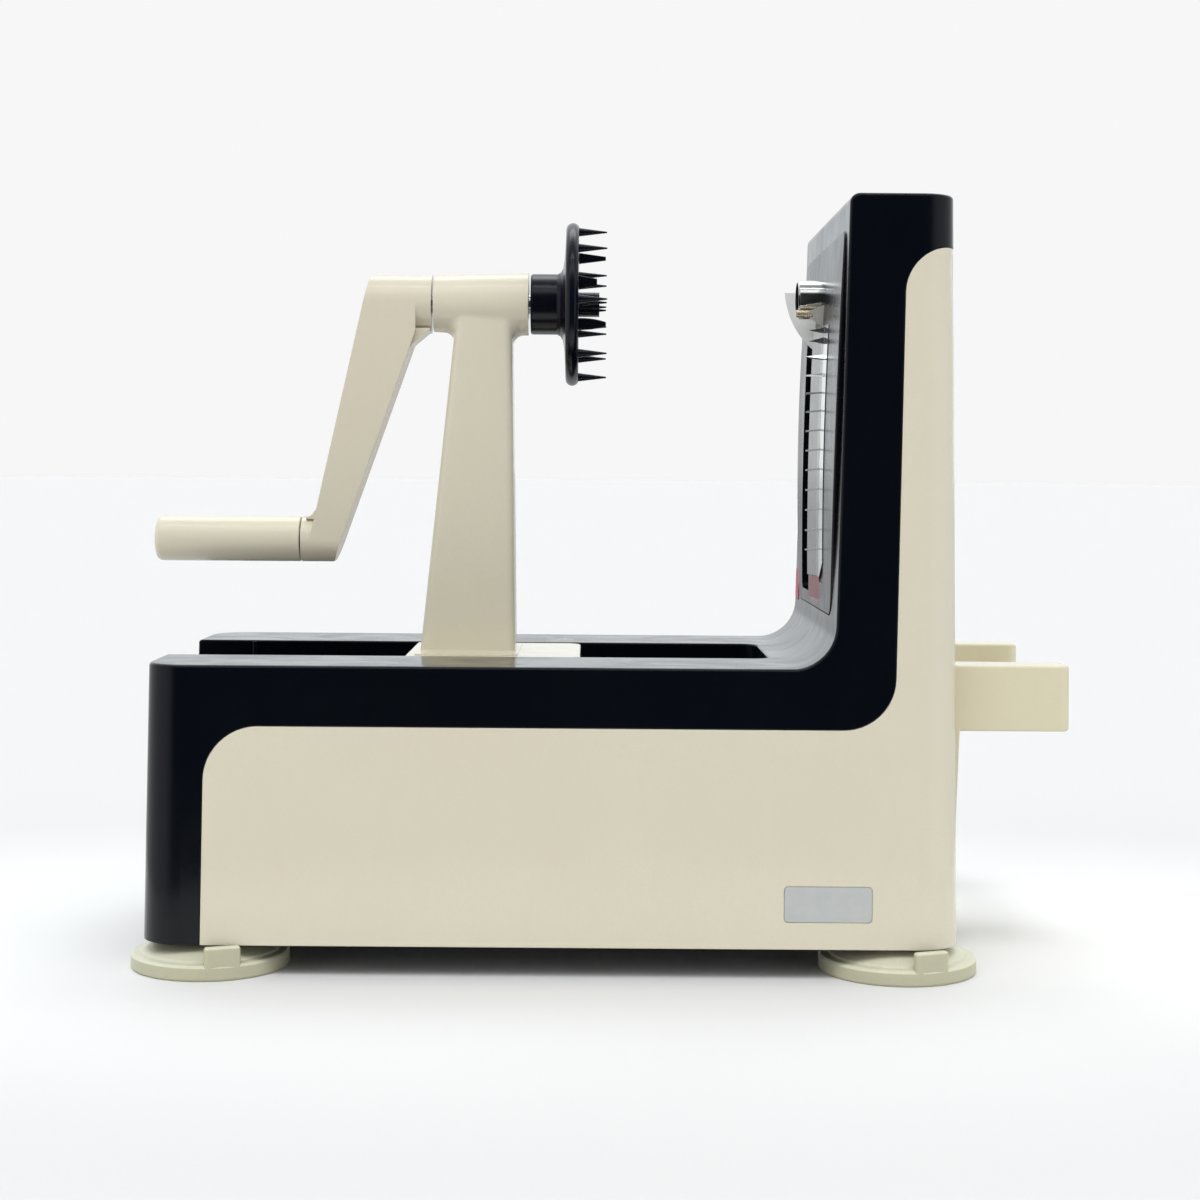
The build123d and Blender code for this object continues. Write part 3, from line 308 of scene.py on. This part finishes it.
finish = {
    "upper_casing": navy, "lower_casing": cream, "base_plate": navy_matt, "casing_screws": zinc, "name_plate": plate_foil,
    "rear_handle": cream_handle, "handle_screws": zinc, "blade_frame": navy_insert, "coring_tube": tube_steel, "core_pin": brass,
    "core_fin": pale_fin, "comb_blade": blade_steel, "coring_teeth": satin_steel, "slicing_blade": thin_steel,
    "align_marks": red, "sled_plate": cream, "crank_post": cream, "sled_screws": zinc,
    "shaft_bush_crank_side": nylon, "shaft_bush_disc_side": nylon, "crank_shaft": shaft_steel, "crank_arm": cream_arm,
    "crank_arm_cover": cream_arm, "grip_pin": shaft_steel, "prong_disc": navy_disc, "handle_grip": cream, "grip_cap": cream,
    "suction_foot_front_near": pvc, "suction_foot_front_far": pvc, "suction_foot_rear_near": pvc, "suction_foot_rear_far": pvc,
}
for name, ob in nodes.items():
    ob.data.materials.clear()
    ob.data.materials.append(finish[name])


# ------------------------------------------------------------------ added pieces
def front_face_x(z):
    """Tower front at height z, row frame, metres."""
    return 0.08829 + (z - 0.1162) * 0.0262


def strip_mesh(name, y0, y1, z0, z1, lift, depth, nz=12, ny=5):
    """A thin painted strip on the tower front, with rounded ends."""
    verts, faces = [], []
    for side_off in (-lift, depth):
        for i in range(nz + 1):
            t = i / nz
            z = z0 + (z1 - z0) * t
            trim = 0.0006 * (1 - min(1.0, 6 * min(t, 1 - t)) ** 0.5)
            for j in range(ny + 1):
                y = y0 + trim + (y1 - y0 - 2 * trim) * j / ny
                verts.append((front_face_x(z) + side_off, y, z))
    n = (nz + 1) * (ny + 1)
    for i in range(nz):
        for j in range(ny):
            a = i * (ny + 1) + j
            faces.append((a, a + 1, a + ny + 2, a + ny + 1))
            faces.append((n + a, n + a + ny + 1, n + a + ny + 2, n + a + 1))
    rim = [j for j in range(ny + 1)] + [i * (ny + 1) + ny for i in range(1, nz + 1)]
    rim += [nz * (ny + 1) + j for j in range(ny - 1, -1, -1)] + [i * (ny + 1) for i in range(nz - 1, 0, -1)]
    for a, b in zip(rim, rim[1:] + rim[:1]):
        faces.append((a, n + a, n + b, b))
    me = bpy.data.meshes.new(name)
    me.from_pydata(verts, [], faces)
    ob = bpy.data.objects.new(name, me)
    scene.collection.objects.link(ob)
    return ob


mark = strip_mesh("red_mark_strip", 0.0640, 0.0768, 0.1335, 0.1468, 0.00022, 0.0002)
mark.data.materials.append(red)
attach(mark, "casing")
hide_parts("align_marks")


def pan_screw(name, centre, out, radius=0.0031, height=0.0013, seg=32):
    """Head of a cross-recessed pan screw: a crowned disc with a four-armed recess."""
    out = Vector(out).normalized()
    side = out.orthogonal().normalized()
    up = out.cross(side)
    bm = bmesh.new()
    rings = [(radius, -0.0004), (radius, 0.35 * height), (0.93 * radius, 0.72 * height), (0.72 * radius, 0.93 * height), (0.50 * radius, height)]
    loops = []
    for r, h in rings:
        loops.append([bm.verts.new(Vector(centre) + out * h + (side * math.cos(2 * math.pi * k / seg) + up * math.sin(2 * math.pi * k / seg)) * r) for k in range(seg)])
    inner = []
    for k in range(seg):
        a = 2 * math.pi * k / seg
        arm = abs(math.cos(2 * a)) > 0.80
        r = radius * (0.46 if arm else 0.16)
        inner.append(bm.verts.new(Vector(centre) + out * (height * (0.96 if arm else 0.98)) + (side * math.cos(a) + up * math.sin(a)) * r))
    floor_loop = [bm.verts.new(v.co * 0.8 + (Vector(centre) + out * 0.0001) * 0.2 - out * (0.55 * height)) for v in inner]
    loops += [inner, floor_loop]
    for la, lb in zip(loops, loops[1:]):
        for k in range(seg):
            bm.faces.new((la[k], la[(k + 1) % seg], lb[(k + 1) % seg], lb[k]))
    bm.faces.new(floor_loop)
    bm.faces.new(list(reversed(loops[0])))
    bmesh.ops.recalc_face_normals(bm, faces=bm.faces)
    me = bpy.data.meshes.new(name)
    bm.to_mesh(me)
    bm.free()
    ob = bpy.data.objects.new(name, me)
    scene.collection.objects.link(ob)
    ob.data.materials.append(zinc)
    return ob


# two screws hold the far half shell of the crank arm
for i, z in enumerate((0.231, 0.187)):
    half = 0.0117 - (0.2579 - z) / 0.097 * 0.00245
    left = -0.09487 - (0.2592 - z) * 0.2208
    right = -0.0760 - (0.2401 - z) * 0.349
    head = pan_screw("arm_cover_screw_%d" % (i + 1), ((left + right) / 2 - 0.00115, half - 0.0001, z), (0.0, 1.0, -0.025))
    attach(head, "crank")

# ------------------------------------------------------------------ floor: a disc, and a wide ring that glossy faces don't mirror
def ring_floor(name, r0, r1, rings=14, spokes=96):
    verts, faces = [], []
    for r in range(rings + 1):
        rr = r0 + (r1 - r0) * (r / rings) ** 2.4
        for s in range(spokes):
            a = 2 * math.pi * s / spokes
            verts.append((rr * math.cos(a), rr * math.sin(a), 0.0))
    for r in range(rings):
        for s in range(spokes):
            a, b = r * spokes + s, r * spokes + (s + 1) % spokes
            faces.append((a, a + spokes, b + spokes, b))
    if r0 > 0:
        me = bpy.data.meshes.new(name)
        me.from_pydata(verts, [], faces)
    else:
        verts = [(0.0, 0.0, 0.0)] + verts[spokes:]
        fan = [(0, 1 + s, 1 + (s + 1) % spokes) for s in range(spokes)]
        faces = fan + [tuple(v - spokes + 1 for v in f) for f in faces[spokes:]]
        me = bpy.data.meshes.new(name)
        me.from_pydata(verts, [], faces)
    ob = bpy.data.objects.new(name, me)
    scene.collection.objects.link(ob)
    return ob


fm, fnt, fb = new_material("floor_paper")
paper = noise(fnt, place(fnt), 3.0, 2.0, 0.5)
far_off = fnt.nodes.new("ShaderNodeVectorMath")
far_off.operation = "LENGTH"
oval = fnt.nodes.new("ShaderNodeVectorMath")
oval.operation = "MULTIPLY"
oval.inputs[1].default_value = (5.0, 9.0, 1.0)
fnt.links.new(place(fnt), oval.inputs[0])
fnt.links.new(oval.outputs["Vector"], far_off.inputs[0])
pale = mix(fnt, paper, (0.790, 0.788, 0.786), (0.792, 0.790, 0.788))
# painted light: the floor colour is paler near the machine, lifting its contact shadow, and falls to a plainer tone
# further out
put(fnt, fb.inputs["Base Color"], mix(fnt, ramp(fnt, far_off.outputs["Value"], 1.0, 2.8), pale, (0.664, 0.652, 0.648)))
fb.inputs["Roughness"].default_value = 0.9
fb.inputs["Specular IOR Level"].default_value = 0.1
near_floor = ring_floor("floor_near", 0.0, 0.34)
far_floor = ring_floor("floor_far", 0.34, 40.0)
far_floor.visible_glossy = False
for ob in (near_floor, far_floor):
    ob.data.materials.append(fm)

# ------------------------------------------------------------------ light: a white tent, darker behind the camera
world = bpy.data.worlds.new("tent")
scene.world = world
world.use_nodes = True
wt = world.node_tree
wt.nodes.clear()
w_out = wt.nodes.new("ShaderNodeOutputWorld")
tc = wt.nodes.new("ShaderNodeTexCoord")
sep = wt.nodes.new("ShaderNodeSeparateXYZ")
wt.links.new(tc.outputs["Generated"], sep.inputs[0])
dx, dy, dz = sep.outputs
# height angle in the plane across the machine: 0 at the camera's side, 90 overhead, 180 at the far side
phi = math_node(wt, "DEGREES", math_node(wt, "ARCTAN2", dz, math_node(wt, "MULTIPLY", dy, -1.0)))
side = ramp(wt, math_node(wt, "ABSOLUTE", dx), 0.50, 0.88)


def step(p0, p1, amount):
    return ramp(wt, phi, p0, p1, 0.0, amount)


profile = 0.05
for p0, p1, amount in ((34, 48, 1.9), (54, 61, -1.45), (88, 104, 1.3), (126, 152, -0.35)):
    profile = math_node(wt, "ADD", profile, step(p0, p1, amount))
# two long soft boxes, overhead and in front, as wide as the machine
box_width = ramp(wt, math_node(wt, "ABSOLUTE", dx), 0.48, 0.32)
strip = math_node(wt, "ADD", step(65.0, 66.5, 7.0), step(69.0, 70.5, -7.0))
roof = math_node(wt, "ADD", step(104, 109, 3.2), step(126, 132, -3.2))
profile = math_node(wt, "ADD", profile, math_node(wt, "MULTIPLY", box_width, math_node(wt, "ADD", strip, roof)))
# below the horizon: dark on the camera's side, pale on the far side
profile = math_node(wt, "ADD", profile, step(-60, -120, 0.9))
tent = math_node(wt, "ADD", math_node(wt, "MULTIPLY", profile, math_node(wt, "SUBTRACT", 1.0, side)), math_node(wt, "MULTIPLY", side, 0.95))
tent = math_node(wt, "MULTIPLY", tent, 0.70)
bg_light = wt.nodes.new("ShaderNodeBackground")
bg_light.inputs["Color"].default_value = (0.955, 0.99, 1.015, 1.0)
put(wt, bg_light.inputs["Strength"], tent)
bg_seen = wt.nodes.new("ShaderNodeBackground")
bg_seen.inputs["Color"].default_value = (0.93, 0.93, 0.93, 1.0)
bg_seen.inputs["Strength"].default_value = 1.0
lp = wt.nodes.new("ShaderNodeLightPath")
ms = wt.nodes.new("ShaderNodeMixShader")
wt.links.new(lp.outputs["Is Camera Ray"], ms.inputs["Fac"])
wt.links.new(bg_light.outputs[0], ms.inputs[1])
wt.links.new(bg_seen.outputs[0], ms.inputs[2])
wt.links.new(ms.outputs[0], w_out.inputs["Surface"])


def sun(name, direction, strength, angle, glossy=True):
    data = bpy.data.lights.new(name, "SUN")
    data.energy = strength
    data.angle = math.radians(angle)
    ob = bpy.data.objects.new(name, data)
    ob.rotation_mode = "QUATERNION"
    ob.rotation_quaternion = Vector(direction).to_track_quat("-Z", "Y")
    ob.visible_glossy = glossy
    scene.collection.objects.link(ob)
    return ob


# direction is the way the light travels
sun("fill_left", (0.70, 0.70, -0.60), 0.53, 60, glossy=False)
sun("fill_right", (-0.70, 0.70, -0.60), 0.48, 60, glossy=False)
sun("fill_top", (0.0, 0.50, -0.86), 0.85, 16, glossy=False)

# ------------------------------------------------------------------ camera
cam_data = bpy.data.cameras.new("camera")
cam = bpy.data.objects.new("camera", cam_data)
scene.collection.objects.link(cam)
cam_data.sensor_width = 36.0
cam_data.lens = 63.0
cam_data.shift_x = 0.0083
cam_data.shift_y = -0.1083
cam_data.clip_start, cam_data.clip_end = 0.02, 200.0
cam.matrix_world = (
    Matrix.Translation((-0.00375, -0.863, 0.190)) @ Matrix.Rotation(math.pi / 2, 4, "X") @ Matrix.Rotation(0.0075, 4, "Z")
)
scene.camera = cam
scene.view_settings.view_transform = "Standard"
scene.view_settings.look = "None"
